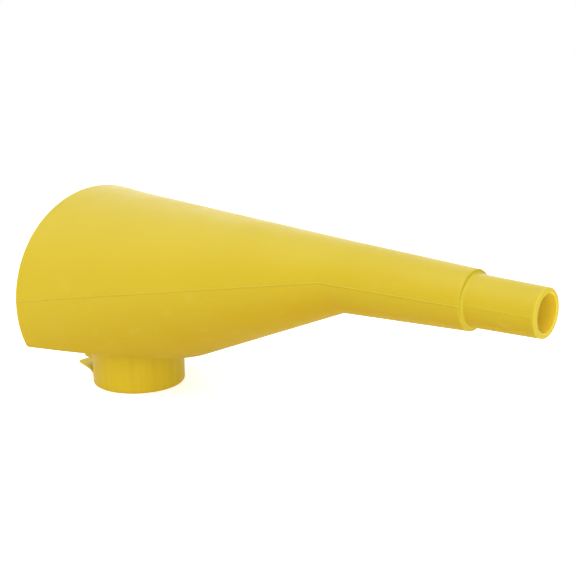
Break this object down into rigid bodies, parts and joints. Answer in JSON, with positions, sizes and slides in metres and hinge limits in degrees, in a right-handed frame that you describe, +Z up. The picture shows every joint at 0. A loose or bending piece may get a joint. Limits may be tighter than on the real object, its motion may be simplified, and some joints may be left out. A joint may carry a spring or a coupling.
{
  "type": "safety can funnel",
  "caption": "Offset pouring funnel: a wide open cone with a flat floor and a round collar for a can spout, narrowing into a level neck and a stepped nozzle tip.",
  "frame": {"origin": "centre of the collar's lower rim, on the axis of the collar's bore", "axes": "+X along the neck towards the nozzle's open end, +Y to the left when looking along +X, +Z up out of the collar; the object is mirror symmetric about the XZ plane"},
  "size_m": [0.317, 0.133, 0.1234],
  "materials": {
    "upper_shell": "satin moulded polyethylene",
    "lower_shell": "satin moulded polyethylene",
    "nozzle_tip": "satin moulded polyethylene",
    "spout_collar": "satin moulded polyethylene with fine draw marks",
    "latch_tab": "thin satin polyethylene"
  },
  "bodies": {
    "funnel": {"upper_shell": "upper_shell", "lower_shell": "lower_shell", "nozzle_tip": "nozzle_tip", "spout_collar": "spout_collar"},
    "latch": {"latch_tab": "latch_tab"}
  },
  "joints": [
    {"name": "latch_flex", "type": "hinge", "parent": "funnel", "child": "latch", "pos_m": [-0.0281, 0, 0.0046], "axis": [0, -1, 0], "range_deg": [0, 10], "stiffness_Nm_per_rad": 0.1}
  ]
}
